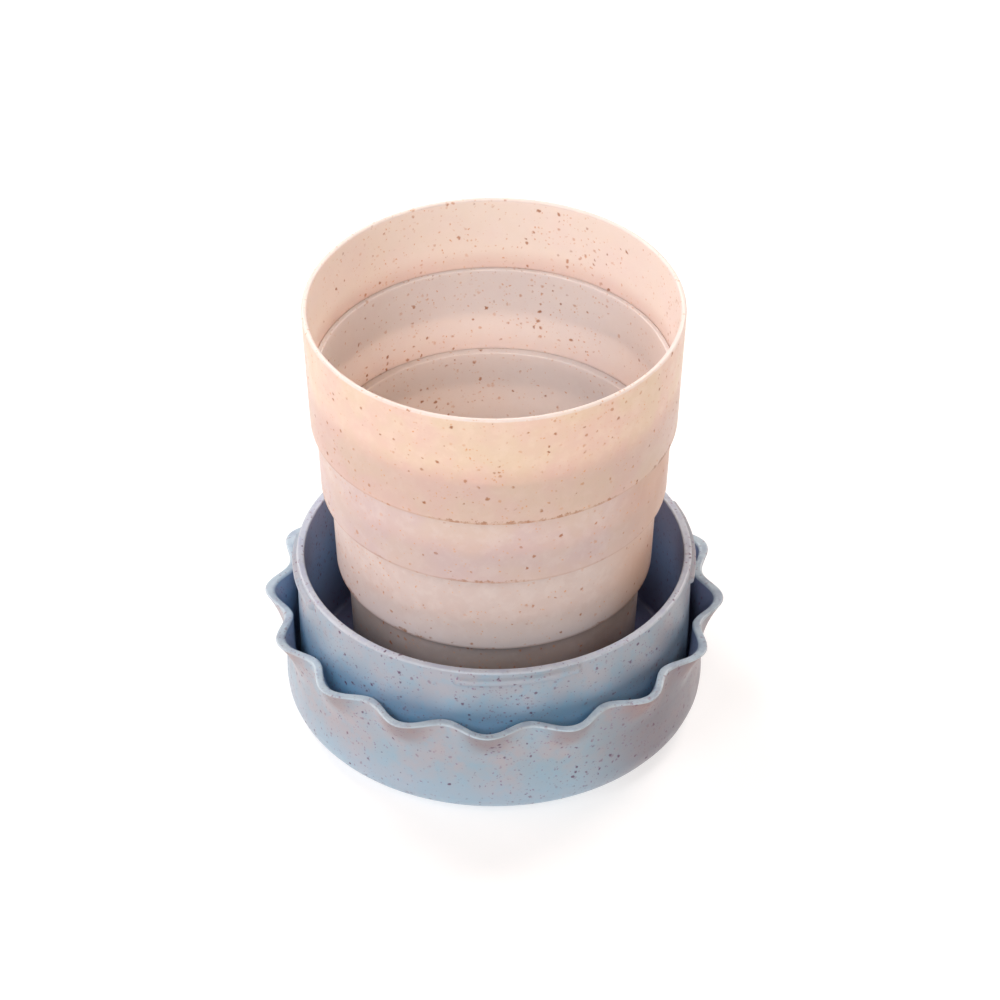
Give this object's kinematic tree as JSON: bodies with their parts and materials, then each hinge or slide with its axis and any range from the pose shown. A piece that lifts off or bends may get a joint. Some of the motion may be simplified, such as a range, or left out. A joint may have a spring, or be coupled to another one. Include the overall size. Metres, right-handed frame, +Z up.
{
  "type": "collapsible cup",
  "caption": "Collapsible travel cup of tapered rings that telescope into a round base, with a wavy-edged screw lid that lies under it as a saucer.",
  "frame": {"origin": "centre of the lid's flat face, on the surface that the cup stands on", "axes": "+Z up along the cup's axis, from the saucer to the drinking rim; one thread segment of the base faces -Y"},
  "size_m": [0.0938, 0.0938, 0.0963],
  "materials": {
    "blue_plastic": "satin moulded plastic with plant fibre, grey-blue with fine dark specks",
    "cream_plastic": "satin, slightly translucent moulded plastic with plant fibre, cream with fine brown specks"
  },
  "bodies": {
    "lid": {"lid": "blue_plastic"},
    "base": {"base": "blue_plastic"},
    "ring_5": {"ring_5": "cream_plastic"},
    "ring_4": {"ring_4": "cream_plastic"},
    "ring_3": {"ring_3": "cream_plastic"},
    "ring_2": {"ring_2": "cream_plastic"},
    "ring_1": {"ring_1": "cream_plastic"}
  },
  "joints": [
    {"name": "base_lift", "type": "slide", "parent": "lid", "child": "base", "axis": [0, 0, 1], "range_m": [0, 0.03]},
    {"name": "cup_lift", "type": "slide", "parent": "base", "child": "ring_5", "axis": [0, 0, 1], "range_m": [0, 0.04]},
    {"name": "ring_4_collapse", "type": "slide", "parent": "ring_5", "child": "ring_4", "axis": [0, 0, -1], "range_m": [0, 0.0116]},
    {"name": "ring_3_collapse", "type": "slide", "parent": "ring_4", "child": "ring_3", "axis": [0, 0, -1], "range_m": [0, 0.0188]},
    {"name": "ring_2_collapse", "type": "slide", "parent": "ring_3", "child": "ring_2", "axis": [0, 0, -1], "range_m": [0, 0.0188]},
    {"name": "ring_1_collapse", "type": "slide", "parent": "ring_2", "child": "ring_1", "axis": [0, 0, -1], "range_m": [0, 0.016]}
  ]
}
